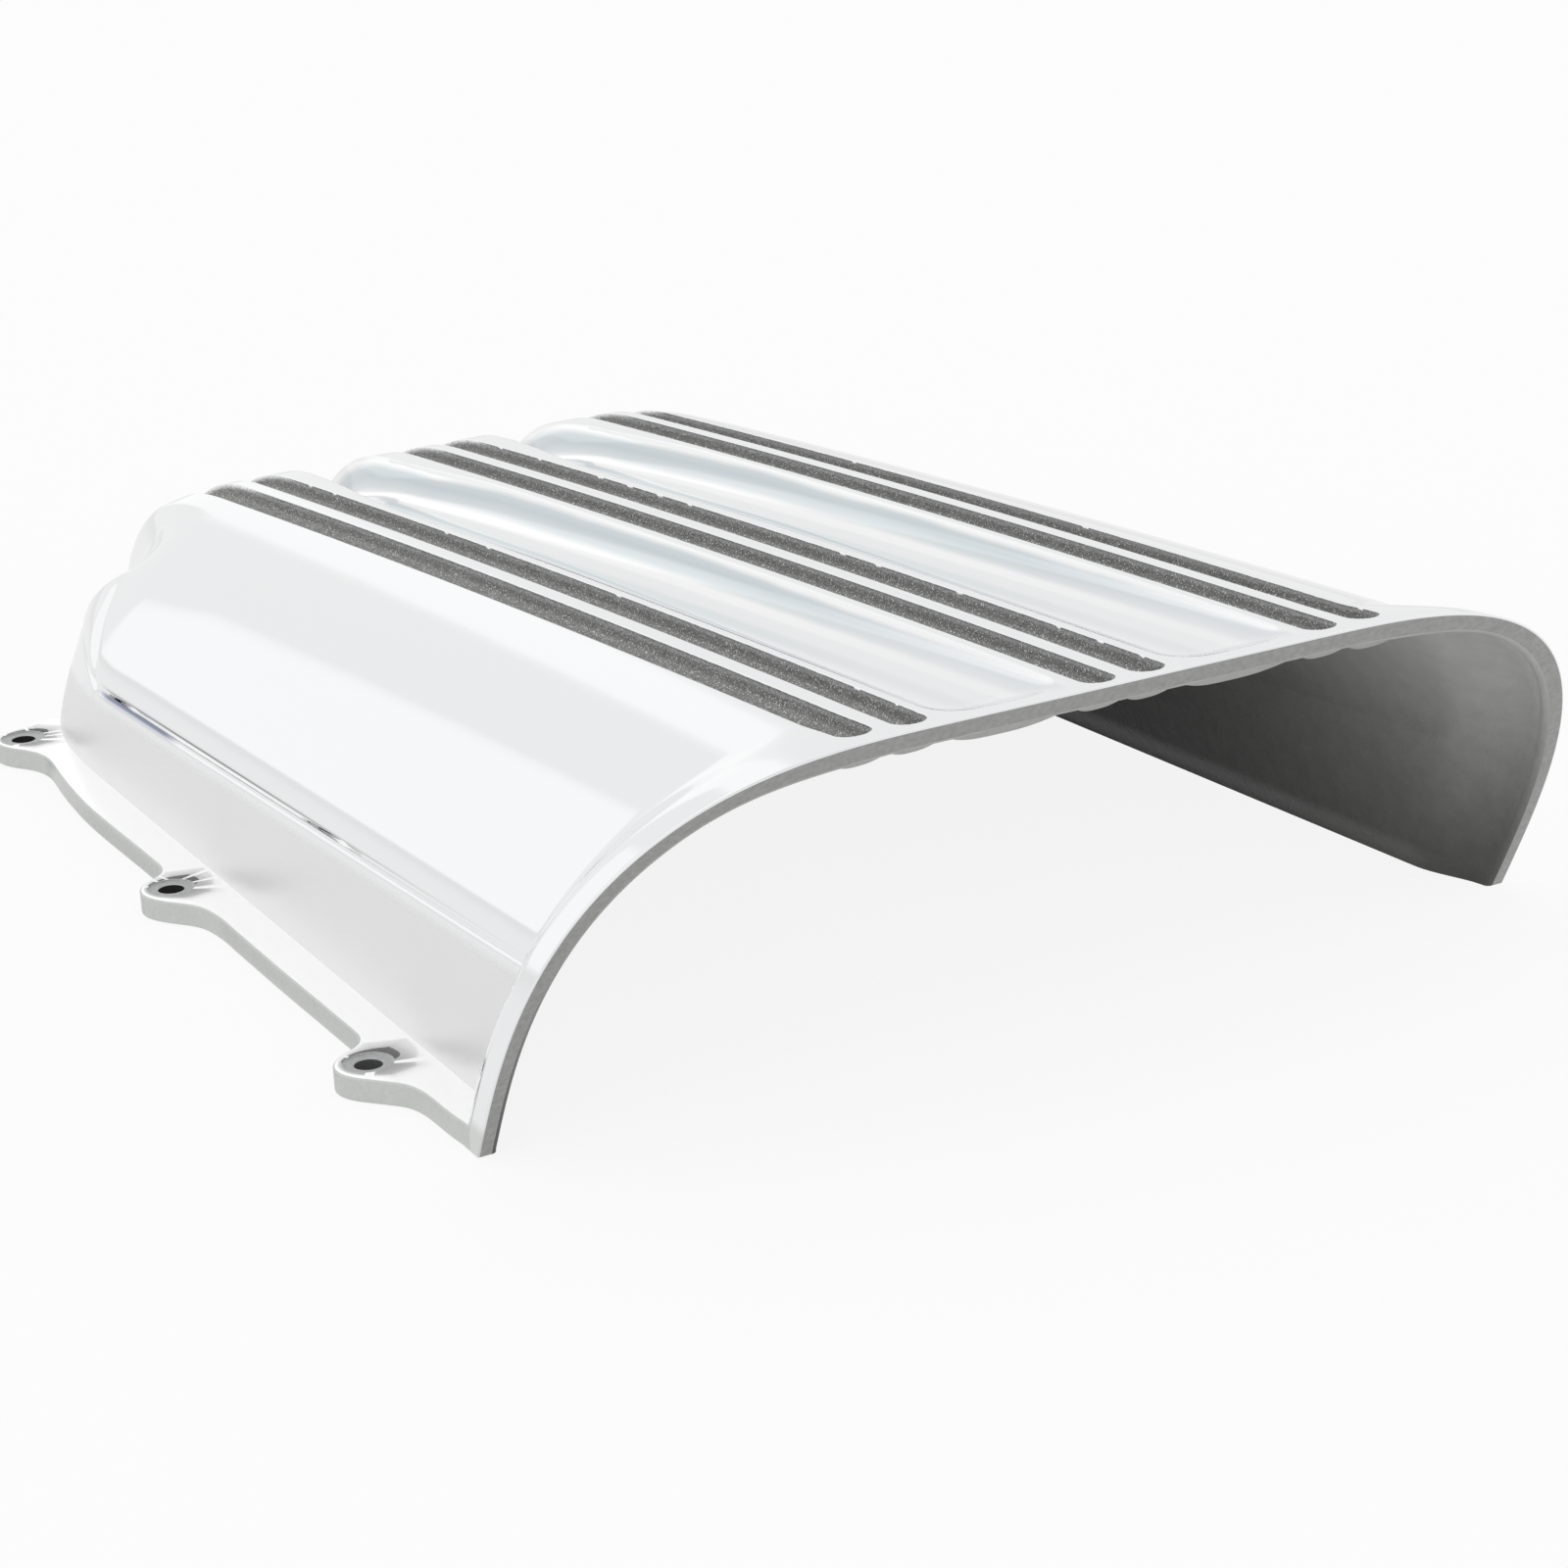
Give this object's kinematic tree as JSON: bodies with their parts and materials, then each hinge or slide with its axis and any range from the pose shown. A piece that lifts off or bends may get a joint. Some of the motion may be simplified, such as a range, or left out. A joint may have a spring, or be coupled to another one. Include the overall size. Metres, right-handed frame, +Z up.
{
  "type": "supercharger air scoop housing",
  "caption": "Low cast air scoop shell with a wide raked mouth, rounded closed rear, grooved and channelled top, and side ledges with screw ears.",
  "frame": {"origin": "middle of the bounding box in X and Y, on the flat underside of the ledges", "axes": "+X to the scoop's left-right width, +Y from the mouth to the closed rear, +Z up away from the mounting face; the scoop is mirrored across the YZ plane"},
  "size_m": [0.3284, 0.4524, 0.1026],
  "materials": {
    "polished_cast_aluminium": "polished outside, as cast in the grooves and inside, sanded mouth face"
  },
  "bodies": {
    "root": {"scoop_shell": "polished_cast_aluminium"}
  },
  "joints": []
}
